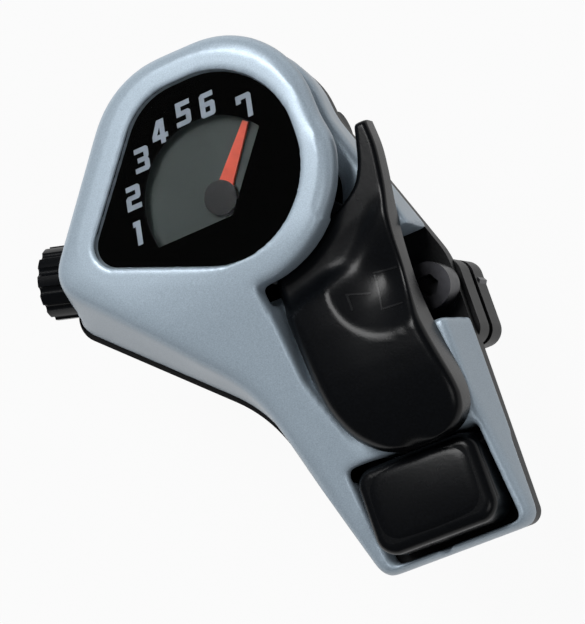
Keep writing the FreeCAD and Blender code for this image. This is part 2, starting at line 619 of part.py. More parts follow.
def polar(radius, degrees):
    """A plan point about the main axle."""
    return (radius * math.cos(math.radians(degrees)), radius * math.sin(math.radians(degrees)))


TOOTH_START = 150.0
notch_points = [
    polar(size("ratchet_radius") - size("tooth_depth"), TOOTH_START),
    polar(size("ratchet_radius") + 1, TOOTH_START - 1.5),
    polar(size("ratchet_radius") + 1, TOOTH_START + size("shift_step") * 0.7),
]
notch_sketch = sketch_on(spool, "tooth_notch", polygon(notch_points), level="groove_top")
notch = pocket(spool, "tooth_gap", notch_sketch, "ratchet_thick")
teeth = spool.newObject("PartDesign::PolarPattern", "ratchet_teeth")
teeth.Originals = [notch]
teeth.Axis = (notch_sketch, ["N_Axis"])
teeth.Occurrences = 8
bind(teeth, Angle="shift_step * 7")
spool.Tip = teeth
node(spool, "cable_spool")


def coil(name, wire, radius, height, turns, x, y, z):
    """A coil of six-sided wire that stands on a level."""
    body = new_body(name + "_body", x, y, z)
    corners = [(radius + wire / 2 * math.cos(math.radians(a)), wire / 2 * (1 + math.sin(math.radians(a))))
               for a in range(30, 390, 60)]
    section = sketch_on(body, name + "_section", polygon(corners), plane="XZ_Plane")
    winding = body.newObject("PartDesign::AdditiveHelix", name + "_winding")
    winding.Profile = section
    winding.ReferenceAxis = (section, ["V_Axis"])
    winding.Mode = 2
    winding.Turns = turns
    winding.Height = height - wire
    return node(body, name)


coil("lever_return_spring", size("spring_wire"), size("lever_spring_radius"), size("spring_room") - 0.1, 2.5,
     "hub_x", "hub_y", "ratchet_top + 0.05")

# Lever plate: a steel ring on the spool's sleeve with an arm that carries the paddle and the drive pawl.
ARM_OUTLINE = [(7.4, -27.5, 2.0), (17.5, -29.5, 3.0), (19.0, -11.0, 3.0), (5.6, 4.0, 1.0), (-0.6, -6.6, 1.0)]
plate = new_body("plate_body", "hub_x", "hub_y")
arm_sketch = sketch_on(plate, "plate_arm_outline", rounded(ARM_OUTLINE), level="plate_low")
pad(plate, "plate_arm", arm_sketch, "plate_thick")
plate_ring = hub_cylinder("plate_ring", "plate_ring_radius", "plate_thick", 0, 0, "plate_low")
plate_bore = hub_cylinder("plate_bore", "sleeve_radius + running_gap", "plate_thick", 0, 0, "plate_low")
DRIVE_PIVOT = polar(size("pawl_orbit"), -80.0)
HOLD_PIVOT = polar(size("pawl_orbit"), -142.0)
LEVER_SCREWS = [(11.0, -22.5), (16.0, -16.0)]
drive_way = hub_cylinder("drive_pin_way", "pawl_pin_radius", "plate_thick", *DRIVE_PIVOT, "plate_low")
screw_ways = [hub_cylinder(f"plate_screw_way_{k}", "screw_radius", "plate_thick", x, y, "plate_low")
              for k, (x, y) in enumerate(LEVER_SCREWS)]
plate_blank = fuse("plate_blank", plate, plate_ring)
lever_plate = node(cut("lever_plate", plate_blank, plate_bore, drive_way, *screw_ways), "lever_plate")
washer("lever_washer", "sleeve_radius + running_gap", "plate_ring_radius - 1.4", "roof_gap - 0.6",
       "plate_top")


def pawl(name, pivot_angle, nose_angle):
    """A pawl from its pivot to a nose that stands just clear of the ratchet teeth."""
    body = new_body(name + "_body", "hub_x", "hub_y")
    orbit = size("pawl_orbit")
    half = size("pawl_width") / 2
    sign = 1 if nose_angle > pivot_angle else -1
    points = [
        polar(orbit - half, pivot_angle - sign * 5), polar(orbit + half, pivot_angle - sign * 5),
        polar(orbit + half, nose_angle - sign * 4), polar(orbit - 0.4, nose_angle),
        polar(size("ratchet_radius") + size("free_gap"), nose_angle),
        polar(orbit - half, nose_angle - sign * 9),
    ]
    points = points if sign > 0 else points[::-1]
    outline = sketch_on(body, name + "_outline", polygon(points), level="groove_top + 0.2")
    pad(body, name + "_blank", outline, "ratchet_thick - 0.4")
    way = hub_cylinder(name + "_way", "pawl_pin_radius + running_gap", "ratchet_thick",
                       *polar(orbit, pivot_angle), "groove_top")
    return node(cut(name, body, way), name)


pawl("drive_pawl", -80.0, -55.0)
drive_pin = hub_cylinder("drive_pawl_pin", "pawl_pin_radius", "plate_top - groove_top - 0.2", *DRIVE_PIVOT,
                         "groove_top + 0.2")
node(drive_pin, "drive_pawl_pin")
pawl("hold_pawl", -142.0, -112.0)
hold_pin = hub_cylinder("hold_pawl_pin", "pawl_pin_radius", "ratchet_top - base_top + 0.6", *HOLD_PIVOT,
                        "base_top")
node(hold_pin, "hold_pawl_pin")


# Dial: printed plate, needle on the spool's sleeve, mask with a sector window and a clear lens.
def dial_layer(name, outline, low, thick, hole=None):
    """A flat layer of the dial, seated in the cover."""
    body = new_body(name + "_body", "hub_x", "hub_y")
    lines = rounded(outline)
    if hole:
        lines += hole
    pad(body, name + "_layer", sketch_on(body, name + "_outline", lines, level=low), thick)
    return node(body, name)


sleeve_hole = [Part.Circle(Vector(0, 0, 0), Vector(0, 0, 1), size("stem_radius") + size("free_gap"))]
dial_layer("dial_plate", LEDGE_OUTLINE, "dial_ledge", "dial_plate_thick", sleeve_hole)
WINDOW_START = 37.0
WINDOW_END = 196.0
window_ends = [Vector(*polar(size("window_radius"), a), 0) for a in (WINDOW_START, WINDOW_END)]
apex = Vector(size("window_apex"), window_ends[1].y, 0)
window = [
    arc(0, 0, size("window_radius"), WINDOW_START, WINDOW_END), Part.LineSegment(window_ends[1], apex),
    Part.LineSegment(apex, window_ends[0]),
]
dial_layer("dial_mask", DIAL_OUTLINE, "mask_low", "mask_thick", window)
dial_layer("dial_lens", DIAL_OUTLINE, "mask_top", "lens_thick")
NEEDLE_ANGLE = 50.5
needle = new_body("needle_body", "hub_x", "hub_y")
tip_half = math.degrees(size("needle_tip") / size("needle_length"))
blade = [polar(size("needle_length"), NEEDLE_ANGLE + turn) for turn in (-tip_half, tip_half)]
blade += [polar(size("needle_root"), NEEDLE_ANGLE + turn) for turn in (90, -90)]
blade_sketch = sketch_on(needle, "needle_outline", polygon(blade), level="sleeve_top")
pad(needle, "needle_blade", blade_sketch, "needle_thick")
needle_disc = hub_cylinder("needle_disc", "stem_radius", "needle_thick", 0, 0, "sleeve_top")
node(fuse("indicator_needle", needle, needle_disc), "indicator_needle")
node(hub_cylinder("needle_cap", "stem_radius + free_gap", "hub_cap_thick", 0, 0, "needle_top"), "needle_cap")

# Thumb lever: a low neck beside the bezel that carries a drafted paddle with a dished thumb rest.
PADDLE_FOOT = [
    (23.7, -43.2, 6.2), (21.8, -22.0, 40.0), (24.2, -8.4, 3.0), (2.3, -20.8, 4.0), (2.3, -29.0, 30.0),
    (6.9, -45.2, 10.5),
]
PADDLE_CROWN = [
    (22.5, -42.0, 5.2), (20.9, -22.0, 24.0), (22.8, -11.2, 2.2), (4.3, -22.4, 4.0), (4.3, -29.0, 20.0),
    (8.5, -43.8, 9.0),
]
peak = size("lever_low") + size("lever_height")
neck = new_body("lever_neck_body", "hub_x", "hub_y")
neck_foot = sketch_on(neck, "lever_neck_outline", rounded(NECK_OUTLINE), level="lever_low")
neck_pad = pad(neck, "lever_neck", neck_foot, "lever_step")
step_top = size("lever_low") + size("lever_step")
round_edges(neck, "lever_neck_round", neck_pad, "lever_round / 2", lies_at(step_top))
paddle = new_body("lever_paddle_body", "hub_x", "hub_y")
paddle_foot = sketch_on(paddle, "paddle_foot", rounded(PADDLE_FOOT), level="lever_low")
paddle_crown = sketch_on(paddle, "paddle_crown", rounded(PADDLE_CROWN), level="lever_low + lever_height")
loft(paddle, "paddle_walls", paddle_foot, paddle_crown)
NOSE_CREST = -33.0
nose_fall = size("nose_slope") * (FAR_MM + NOSE_CREST)
nose_profile = [
    (NOSE_CREST, peak, size("nose_round")), (FAR_MM, peak, 0), (FAR_MM, peak + 9, 0), (-FAR_MM, peak + 9, 0),
    (-FAR_MM, peak - nose_fall, 0),
]
nose_sketch = sketch_on(paddle, "paddle_nose_profile", rounded(nose_profile), plane="YZ_Plane")
nose = pocket(paddle, "paddle_nose", nose_sketch, "150")
nose.Midplane = True
doc.recompute()
DISH_SPOT = (18.8, -19.4)
bowl, lip = size("dish_radius"), size("dish_lip")
bowl_rise = bowl - size("dish_depth")
dish_reach = math.sqrt((bowl + lip) ** 2 - (bowl_rise + lip) ** 2)
lean = math.degrees(math.atan2(dish_reach, bowl_rise + lip))
dish_lines = [
    arc(0, bowl_rise, bowl, -90, lean - 90), arc(dish_reach, -lip, lip, 90, 90 + lean),
    Part.LineSegment(Vector(dish_reach, 0, 0), Vector(dish_reach, FAR_MM / 6, 0)),
    Part.LineSegment(Vector(dish_reach, FAR_MM / 6, 0), Vector(0, FAR_MM / 6, 0)),
    Part.LineSegment(Vector(0, FAR_MM / 6, 0), Vector(0, -size("dish_depth"), 0)),
]
dish_sketch = sketch_on(paddle, "dish_profile", dish_lines, plane="XZ_Plane", level=str(-DISH_SPOT[1]))
bind(dish_sketch, AttachmentOffset__Base__x=str(DISH_SPOT[0]),
     AttachmentOffset__Base__y="lever_low + lever_height")
dish = paddle.newObject("PartDesign::Groove", "thumb_dish")
dish.Profile = dish_sketch
dish.ReferenceAxis = (dish_sketch, ["V_Axis"])
dish.Angle = 360
paddle.Tip = dish
doc.recompute()


def paddle_edge(edge):
    """An outer edge of the paddle's top, of its thumb dish or of its sloping nose."""
    middle = edge.valueAt((edge.FirstParameter + edge.LastParameter) / 2)
    if middle.z < step_top:
        return False
    faces = dish.Shape.ancestorsOfType(edge, Part.Face)
    slants = []
    for face in faces:
        first_u, last_u = face.Surface.parameter(middle)
        slants.append(face.normalAt(first_u, last_u).z)
    return len(slants) == 2 and max(slants) > 0.5 and min(slants) < 0.5


round_edges(paddle, "paddle_round", dish, "lever_round", paddle_edge)
lever = fuse("lever_blank", neck, paddle)
lever_screw_ways = [
    hub_cylinder(f"lever_screw_way_{k}", "screw_radius", "lever_screw_length", x, y, "lever_low")
    for k, (x, y) in enumerate(LEVER_SCREWS)]
lever_insert = fuse("plate_and_screws", lever_plate, drive_pin, *lever_screw_ways)
node(cut("thumb_lever", lever, lever_insert), "thumb_lever")
lever_screw_set = doc.addObject("Part::Compound", "lever_screws")
lever_screw_set.Links = [
    hub_cylinder(f"lever_screw_{k}", "screw_radius", "lever_screw_length", x, y, "lever_low")
    for k, (x, y) in enumerate(LEVER_SCREWS)]
node(lever_screw_set, "lever_screws")

# Release button on its cross pin, with an arm that runs forward to the holding pawl.
button = new_body("button_body", "hub_x", "hub_y")
BUTTON_OUTLINE = [(BUTTON_RIGHT, BUTTON_REAR, 3.4), (BUTTON_RIGHT, BUTTON_FRONT, 3.0),
                  (BUTTON_LEFT, BUTTON_FRONT, 3.0), (BUTTON_LEFT, BUTTON_REAR, 3.4)]
button_foot = sketch_on(button, "button_foot", rounded(BUTTON_OUTLINE), level="base_top + button_foot_rise")
button_walls = pad(button, "button_walls", button_foot, "button_height")
bind(button_walls, TaperAngle="-button_draft")
button_top = size("base_top") + size("button_foot_rise") + size("button_height")
round_edges(button, "button_round", button_walls, "button_round", lies_at(button_top))
release_arm = hub_box("release_arm_bar", (ARM_LEFT, ARM_BACK), (ARM_RIGHT, ARM_FRONT),
                      "base_top + free_gap", "base_top + free_gap + arm_thick")
arm_foot = hub_box("release_arm_foot", (BUTTON_LEFT + 0.4, ARM_HEEL), (ARM_RIGHT, ARM_BACK + 1.0),
                   "base_top + free_gap", "base_top + button_foot_rise + 1")
pin_room = cylinder("button_bore", "button_pin_radius + running_gap", "40", f"hub_x + {BUTTON_LEFT} - 5",
                    PIVOT_Y, PIVOT_Z, ALONG_X)
SPRING_SPOT = (11.7, -52.0)
spring_room = hub_cylinder("button_spring_room", "button_spring_radius + free_gap",
                           "button_spring_length + 0.1", *SPRING_SPOT, "base_top")
button_blank = fuse("button_blank", button, arm_foot, release_arm)
node(cut("release_button", button_blank, pin_room, spring_room), "release_button")
node(cylinder("button_pivot_pin", "button_pin_radius", PIN_LENGTH, PIN_LEFT, PIVOT_Y, PIVOT_Z, ALONG_X),
     "button_pivot_pin")
button_coil = size("button_spring_radius") - size("button_spring_wire") / 2
coil("button_return_spring", size("button_spring_wire"), button_coil, size("button_spring_length"), 3.5,
     f"hub_x + {SPRING_SPOT[0]}", f"hub_y + {SPRING_SPOT[1]}", "base_top + 0.05")

# Barrel adjuster: a fluted knob on a threaded tube, with a socket for the cable casing.
knob = along_barrel("knob_blank", "barrel_radius", size("barrel_seat") + 0.4, "barrel_length")
tube = along_barrel("adjuster_tube", "thread_radius - running_gap",
                    size("barrel_seat") - size("thread_length"), "thread_length + 0.6")
socket_floor = size("barrel_seat") + 0.4 + size("barrel_length") - size("casing_depth")
knob_tools = [
    along_barrel("casing_socket", "casing_radius", socket_floor, "casing_depth"),
    along_barrel("cable_bore", "wire_radius", 0.0, FAR),
]
FLUTES = 12
for number in range(FLUTES):
    flute = along_barrel(f"flute_{number}", "0.8", size("barrel_seat") + 1.6, "barrel_length")
    side = BARREL_TURN.multVec(Vector(*polar(size("barrel_radius") + 0.35, number * 360 / FLUTES), 0))
    flute.Placement.Base = flute.Placement.Base + side
    knob_tools.append(flute)
node(cut("barrel_adjuster", fuse("adjuster_blank", knob, tube), *knob_tools), "barrel_adjuster")
plug = cylinder("port_plug_stem", "port_radius", "port_plug_length", "hub_x + groove_radius",
                f"hub_y + {PORT_SEAT}", "cable_level", ALONG_Y)
node(plug, "cable_port_plug")

doc.recompute()
os.makedirs("parts", exist_ok=True)
for label, obj in nodes:
    state = [word for word in obj.State if "nvalid" in word or "rror" in word]
    if state or obj.Shape.isNull() or not obj.Shape.isValid():
        raise SystemExit(f"{label} did not build: {state}")
    obj.Shape.exportStep(f"parts/{label}.step")
print(len(nodes), "parts built")
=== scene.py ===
"""Looks of the bicycle trigger shifter: finishes, dial print, moulded forms and marks, light and camera."""

import json
import math

import bmesh
import bpy
from mathutils import Matrix, Vector


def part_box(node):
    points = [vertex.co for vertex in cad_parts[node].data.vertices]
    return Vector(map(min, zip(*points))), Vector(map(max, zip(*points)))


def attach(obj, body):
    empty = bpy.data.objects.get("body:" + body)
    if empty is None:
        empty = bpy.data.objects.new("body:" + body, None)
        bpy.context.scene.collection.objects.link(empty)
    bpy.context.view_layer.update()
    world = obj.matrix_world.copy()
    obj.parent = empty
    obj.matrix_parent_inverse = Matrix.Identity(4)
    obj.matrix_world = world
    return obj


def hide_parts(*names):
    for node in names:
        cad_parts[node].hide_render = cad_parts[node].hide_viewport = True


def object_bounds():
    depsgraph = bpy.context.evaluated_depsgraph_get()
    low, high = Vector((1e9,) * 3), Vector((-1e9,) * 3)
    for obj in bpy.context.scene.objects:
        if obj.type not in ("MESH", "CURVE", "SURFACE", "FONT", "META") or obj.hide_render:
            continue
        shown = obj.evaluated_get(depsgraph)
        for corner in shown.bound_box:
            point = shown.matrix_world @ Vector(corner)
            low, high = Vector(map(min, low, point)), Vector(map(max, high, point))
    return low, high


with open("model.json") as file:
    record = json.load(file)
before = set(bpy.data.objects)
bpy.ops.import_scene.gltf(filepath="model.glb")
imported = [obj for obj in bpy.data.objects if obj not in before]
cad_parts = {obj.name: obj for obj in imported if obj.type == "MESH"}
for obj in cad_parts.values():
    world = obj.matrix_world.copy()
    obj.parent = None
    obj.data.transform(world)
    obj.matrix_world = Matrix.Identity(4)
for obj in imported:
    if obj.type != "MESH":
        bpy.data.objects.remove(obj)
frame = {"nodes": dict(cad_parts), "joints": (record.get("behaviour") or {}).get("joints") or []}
cad_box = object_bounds()
MM = 0.001

# Sizes are in millimetres unless a comment says otherwise.
# The main axle's place in plan comes from the joint that turns on it.
lever_swing = next(joint for joint in frame["joints"] if joint["name"] == "lever_swing")
HUB = Vector((*lever_swing["pos_m"][:2], 0)) / MM


# Finishes.
def finish(name, metallic=0.0, roughness=0.5, **sockets):
    """A new material with its node tree and its shader, ready for more nodes."""
    made = bpy.data.materials.new(name)
    made.use_nodes = True
    shader = made.node_tree.nodes["Principled BSDF"]
    shader.inputs["Metallic"].default_value = metallic
    shader.inputs["Roughness"].default_value = roughness
    for socket, value in sockets.items():
        shader.inputs[socket.replace("_", " ")].default_value = value
    return made, made.node_tree, shader


def grain(tree, scale, detail):
    """A noise over the piece's own coordinates."""
    place = tree.nodes.new("ShaderNodeTexCoord")
    noise = tree.nodes.new("ShaderNodeTexNoise")
    noise.inputs["Scale"].default_value = scale
    noise.inputs["Detail"].default_value = detail
    tree.links.new(place.outputs["Object"], noise.inputs["Vector"])
    return noise


def tint(tree, noise, shader, dark, light, low=0.3, high=0.7):
    """Base colour that wanders between two tones with a noise."""
    ramp = tree.nodes.new("ShaderNodeValToRGB")
    ramp.color_ramp.elements[0].position = low
    ramp.color_ramp.elements[0].color = (*dark, 1)
    ramp.color_ramp.elements[1].position = high
    ramp.color_ramp.elements[1].color = (*light, 1)
    tree.links.new(noise.outputs[0], ramp.inputs["Fac"])
    tree.links.new(ramp.outputs["Color"], shader.inputs["Base Color"])


def shades(tone, below, above):
    """A darker and a lighter shade of a tone, by shares of it."""
    return tuple((1 - below) * part for part in tone), tuple((1 + above) * part for part in tone)


def sheen_range(tree, noise, shader, low, high):
    """Roughness that wanders between two values with a noise."""
    span = tree.nodes.new("ShaderNodeMapRange")
    span.inputs["To Min"].default_value = low
    span.inputs["To Max"].default_value = high
    tree.links.new(noise.outputs[0], span.inputs["Value"])
    tree.links.new(span.outputs["Result"], shader.inputs["Roughness"])


def relief(tree, noise, shader, depth, strength):
    """A fine bump from a noise, with its depth in millimetres."""
    bump = tree.nodes.new("ShaderNodeBump")
    bump.inputs["Strength"].default_value = strength
    bump.inputs["Distance"].default_value = depth * MM
    tree.links.new(noise.outputs[0], bump.inputs["Height"])
    tree.links.new(bump.outputs["Normal"], shader.inputs["Normal"])


def silver_paint():
    """Satin silver lacquer with fine metal flake."""
    made, tree, shader = finish("silver_paint", metallic=0.22, Specular_IOR_Level=0.4)
    flake = grain(tree, scale=5200.0, detail=1.0)
    tint(tree, flake, shader, dark=(0.350, 0.430, 0.506), light=(0.470, 0.566, 0.651), low=0.25, high=0.75)
    cloud = grain(tree, scale=160.0, detail=3.0)
    sheen_range(tree, cloud, shader, low=0.32, high=0.42)
    relief(tree, flake, shader, depth=0.02, strength=0.12)
    return made


def moulded_black(name, tone, gloss, grain_scale, grain_depth, roughness):
    """Black moulded plastic with a fine spark-eroded texture."""
    made, tree, shader = finish(name, Specular_IOR_Level=gloss)
    texture = grain(tree, scale=grain_scale, detail=4.0)
    tint(tree, texture, shader, *shades(tone, below=0.3, above=0.3))
    cloud = grain(tree, scale=120.0, detail=3.0)
    sheen_range(tree, cloud, shader, *roughness)
    relief(tree, texture, shader, depth=grain_depth, strength=0.5)
    return made


def bare_metal(name, tone, roughness):
    """Plated steel with faint tumbling marks."""
    made, tree, shader = finish(name, metallic=1.0)
    marks = grain(tree, scale=900.0, detail=5.0)
    tint(tree, marks, shader, *shades(tone, below=0.15, above=0.0))
    sheen_range(tree, marks, shader, low=roughness - 0.08, high=roughness + 0.1)
    return made


def ink(name, tone, roughness):
    """Printed or moulded colour with a slight mottle."""
    made, tree, shader = finish(name)
    mottle = grain(tree, scale=700.0, detail=3.0)
    tint(tree, mottle, shader, *shades(tone, below=0.06, above=0.06))
    sheen_range(tree, mottle, shader, low=roughness - 0.05, high=roughness + 0.08)
    return made


def clear_lens():
    """Clear acrylic of the dial's window, bloomed so that it reflects little."""
    made, _, shader = finish("clear_lens", roughness=0.02, IOR=1.25, Transmission_Weight=1.0)
    shader.inputs["Base Color"].default_value = (0.97, 0.98, 0.98, 1)
    return made


SILVER = silver_paint()
GRIP_BLACK = moulded_black("grip_black", tone=(0.0022, 0.0026, 0.0034), gloss=0.18,
                           grain_scale=2600.0, grain_depth=0.02, roughness=(0.24, 0.31))
BODY_BLACK = moulded_black("body_black", tone=(0.0028, 0.0030, 0.0036), gloss=0.16,
                           grain_scale=1800.0, grain_depth=0.04, roughness=(0.38, 0.48))
MARK_BLACK = moulded_black("mark_black", tone=(0.007, 0.0074, 0.0085), gloss=0.3,
                           grain_scale=2600.0, grain_depth=0.01, roughness=(0.26, 0.34))
STEEL = bare_metal("plated_steel", tone=(0.62, 0.62, 0.60), roughness=0.32)
DARK_STEEL = bare_metal("blackened_steel", tone=(0.045, 0.045, 0.05), roughness=0.38)
SPOOL_WHITE = ink("spool_nylon", tone=(0.70, 0.70, 0.67), roughness=0.5)
MASK_BLACK = ink("mask_black", tone=(0.012, 0.0127, 0.0145), roughness=0.22)
PLATE_GREY = ink("plate_grey", tone=(0.020, 0.034, 0.032), roughness=0.5)
NEEDLE_ORANGE = ink("needle_orange", tone=(0.80, 0.085, 0.035), roughness=0.35)
NUMERAL_PALE = ink("numeral_pale", tone=(0.36, 0.42, 0.50), roughness=0.5)
LENS = clear_lens()

FINISH_OF = {
    "top_cover": SILVER, "base_housing": BODY_BLACK, "cable_port_plug": BODY_BLACK,
    "cover_screws": DARK_STEEL, "clamp_strap": BODY_BLACK, "clamp_hinge_pin": STEEL,
    "clamp_bolt": DARK_STEEL, "clamp_nut": DARK_STEEL, "main_axle": STEEL, "spool_washer": STEEL,
    "cable_spool": SPOOL_WHITE, "barrel_adjuster": GRIP_BLACK, "thumb_lever": GRIP_BLACK,
    "lever_plate": DARK_STEEL, "lever_screws": DARK_STEEL, "lever_washer": STEEL,
    "lever_return_spring": STEEL, "drive_pawl": STEEL, "drive_pawl_pin": STEEL, "hold_pawl": STEEL,
    # The button's pivot pin is in blackened steel so that its end reads as a dark shaded hole: painted
    # shade.
    "hold_pawl_pin": STEEL, "release_button": GRIP_BLACK, "button_pivot_pin": DARK_STEEL,
    "button_return_spring": STEEL, "dial_plate": PLATE_GREY, "dial_mask": MASK_BLACK, "dial_lens": LENS,
    "indicator_needle": NEEDLE_ORANGE, "needle_cap": MASK_BLACK,
}
for node, solid in frame["nodes"].items():
    solid.data.materials.clear()
    solid.data.materials.append(FINISH_OF[node])


def meshed(name, shape):
    """A mesh from a finished shape."""
    mesh = bpy.data.meshes.new(name)
    shape.to_mesh(mesh)
    shape.free()
    return mesh


def fitted_piece(name, mesh, finish_used, body):
    """A new piece in its finish, which moves with a body."""
    mesh.materials.clear()
    mesh.materials.append(finish_used)
    piece = bpy.data.objects.new(name, mesh)
    bpy.context.scene.collection.objects.link(piece)
    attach(piece, body)
    return piece


def evaluated_mesh(name, data, prepare=None):
    """The mesh that a curve or a mesh comes to, with any modifier that prepare gives its object."""
    holder = bpy.data.objects.new(name, data)
    bpy.context.scene.collection.objects.link(holder)
    if prepare:
        prepare(holder)
    bpy.context.view_layer.update()
    mesh = bpy.data.meshes.new_from_object(holder.evaluated_get(bpy.context.evaluated_depsgraph_get()))
    bpy.data.objects.remove(holder)
    return mesh


# Gear numbers, printed on the mask round the window: outlines on a grid ten units wide and fourteen high.
NUMERAL_ANGLES = {"1": 180.3, "2": 158.0, "3": 133.8, "4": 113.5, "5": 94.0, "6": 77.1, "7": 52.1}
NUMERAL_ORBIT = 13.7
NUMERAL_HEIGHT = 3.5
NUMERAL_SLANT = 0.2
NUMERAL_HALF_THICK = 0.01
NUMERAL_LIFT = 0.02
NUMERAL_GRID = (10, 14)
NUMERAL_OUTLINES = {
    "1": [[(2.0, 14), (7, 14), (7, 0), (3.6, 0), (3.6, 11), (2.0, 11)]],
    "2": [[(0.6, 14), (8.6, 14), (10, 12.7), (10, 7.0), (8.6, 5.7), (3.3, 5.7), (3.3, 2.9), (10, 2.9),
           (10, 0), (0, 0), (0, 7.2), (1.4, 8.5), (6.7, 8.5), (6.7, 11.1), (0.6, 11.1)]],
    "3": [[(0.4, 14), (8.6, 14), (10, 12.7), (10, 8.2), (9.1, 7), (10, 5.8), (10, 1.3), (8.6, 0), (0, 0),
           (0, 2.9), (6.7, 2.9), (6.7, 5.6), (2.2, 5.6), (2.2, 8.4), (6.7, 8.4), (6.7, 11.1), (0.4, 11.1)]],
    "4": [[(4.0, 14), (8.7, 14), (8.7, 5.5), (10.6, 5.5), (10.6, 2.7), (8.7, 2.7), (8.7, 0), (5.4, 0),
           (5.4, 2.7), (0, 2.7), (0, 5.5)], [(3.3, 5.5), (5.4, 9.9), (5.4, 5.5)]],
    "5": [[(10, 14), (0.5, 14), (0.5, 5.8), (6.7, 5.8), (6.7, 2.9), (0, 2.9), (0, 0), (8.6, 0), (10, 1.3),
           (10, 7.3), (8.6, 8.6), (3.8, 8.6), (3.8, 11.1), (10, 11.1)]],
    "6": [[(9.4, 14), (1.6, 14), (0.2, 12.7), (0.2, 1.3), (1.6, 0), (8.6, 0), (10, 1.3), (10, 7.3),
           (8.6, 8.6), (3.5, 8.6), (3.5, 11.1), (9.4, 11.1)],
          [(3.5, 5.8), (6.7, 5.8), (6.7, 2.8), (3.5, 2.8)]],
    "7": [[(0, 14), (8.6, 14), (10, 12.7), (10, 0), (6.7, 0), (6.7, 11.1), (3.3, 11.1), (3.3, 9.2),
           (0, 9.2)]],
}
MASK_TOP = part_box("dial_mask")[1][2]


def print_numeral(gear):
    """One bold slanted number on the mask."""
    stroke = bpy.data.curves.new("numeral_" + gear, "CURVE")
    stroke.dimensions = "2D"
    stroke.fill_mode = "BOTH"
    stroke.extrude = NUMERAL_HALF_THICK * MM
    unit = NUMERAL_HEIGHT / NUMERAL_GRID[1] * MM
    for outline in NUMERAL_OUTLINES[gear]:
        line = stroke.splines.new("POLY")
        line.points.add(len(outline) - 1)
        line.use_cyclic_u = True
        for point, corner in zip(line.points, outline):
            across, rise = (place - size / 2 for place, size in zip(corner, NUMERAL_GRID))
            point.co = ((across + NUMERAL_SLANT * rise) * unit, rise * unit, 0, 1)
    mesh = evaluated_mesh("numeral_line", stroke)
    angle = math.radians(NUMERAL_ANGLES[gear])
    spot = (HUB + Vector((math.cos(angle), math.sin(angle), 0)) * NUMERAL_ORBIT) * MM
    mesh.transform(Matrix.Translation((spot.x, spot.y, MASK_TOP + NUMERAL_LIFT * MM)))
    fitted_piece("numeral_" + gear, mesh, NUMERAL_PALE, "housing")


for gear in NUMERAL_OUTLINES:
    print_numeral(gear)


# Thumb lever as it is moulded: one flowing form from its tip to its nose, with a thumb dish in the middle.
# Each row runs from the edge beside the bezel to the outer edge, in plan, measured from the main axle.
LEVER_ROWS = [
    ((21.6, 2.9), (23.5, 2.9)), ((20.9, 0.0), (23.7, -0.8)), ((20.0, -3.0), (23.4, -4.2)),
    ((18.4, -5.6), (22.9, -7.6)), ((15.3, -7.6), (22.4, -11.0)), ((11.5, -8.8), (22.0, -14.5)),
    ((7.3, -10.3), (21.8, -18.0)), ((3.2, -12.6), (21.7, -21.0)), ((2.1, -15.8), (21.8, -24.0)),
    ((2.1, -20.0), (22.1, -27.2)), ((2.4, -24.2), (22.6, -30.6)), ((2.7, -28.2), (23.2, -34.0)),
    ((3.1, -32.2), (23.6, -37.0)), ((4.0, -36.0), (23.5, -39.4)), ((5.7, -39.6), (22.6, -41.5)),
    ((8.4, -42.3), (20.5, -43.2)), ((11.6, -43.7), (17.0, -43.9)),
]
ROW_CUTS = 6
ACROSS_CUTS = 56
LEVER_LOW = 24.4
LEVER_LEAST_WALL = 0.4
# Height of the lever's back along its length, and its fall towards the shell.
CREST = [
    (-44.5, 27.4), (-42.0, 28.5), (-40.0, 29.35), (-38.0, 30.05), (-36.0, 30.55), (-34.0, 30.9),
    (-31.0, 31.15), (-28.0, 31.2), (-24.0, 31.15), (-20.0, 30.8), (-16.0, 30.1), (-12.0, 29.1),
    (-9.0, 28.4), (-7.0, 28.0), (4.0, 27.9),
]
SIDE_FALL = 0.010
SIDE_FROM = 13.0
# Distance from the axle that the lever's back keeps by angle, so that it swings clear of the bezel.
BEZEL_CLEAR = [
    (-95, 16.9), (-70, 17.1), (-60, 17.8), (-55, 18.4), (-48, 19.8), (-30, 20.3), (-22, 21.2), (-14, 22.5),
    (-4, 24.7), (20, 26.0),
]
BEZEL_SLOPE = 3.6
NECK_LEVEL = 28.0
DISH_CENTRE = (18.4, -19.0)
DISH_HALF = (8.1, 8.9)
DISH_FLOOR = 27.56
DISH_CURVE = 1.4
# Rounds of the long edges, on the narrow arm and on the wide pad, and where along the length they change.
BEZEL_EDGE_ROUND = (0.9, 3.2)
OUTER_EDGE_ROUND = (0.8, 1.5)
PAD_SPAN = (0.42, 0.62)
NOSE_ROUND = 2.4
TIP_ROUND = 0.9


def eased(share):
    """A soft step from nought to one."""
    share = min(max(share, 0.0), 1.0)
    return share * share * (3 - 2 * share)


def between(ends, share):
    """The value a share of the way from the first of two to the last."""
    return ends[0] + (ends[1] - ends[0]) * share


def read_off(table, place):
    """The value that a table of places and values gives between its entries."""
    for (first, low), (last, high) in zip(table, table[1:]):
        if place <= last:
            return between((low, high), max(place - first, 0.0) / (last - first))
    return table[-1][1]


def flow(points, share):
    """A place on the smooth line through points, from its first at nought to its last at one."""
    top = len(points) - 1
    low = min(int(share * top), top - 1)
    part = share * top - low
    before, first, last, after = (Vector(points[min(max(low + k, 0), top)]) for k in (-1, 0, 1, 2))
    return first + 0.5 * part * (last - before + part * (
        2 * before - 5 * first + 4 * last - after + part * (3 * (first - last) + after - before)))


def rounding(inset, radius):
    """How far a rounded edge has fallen at a distance in from it."""
    short = max(radius - inset, 0.0)
    return radius - math.sqrt(radius * radius - min(short, radius) ** 2)


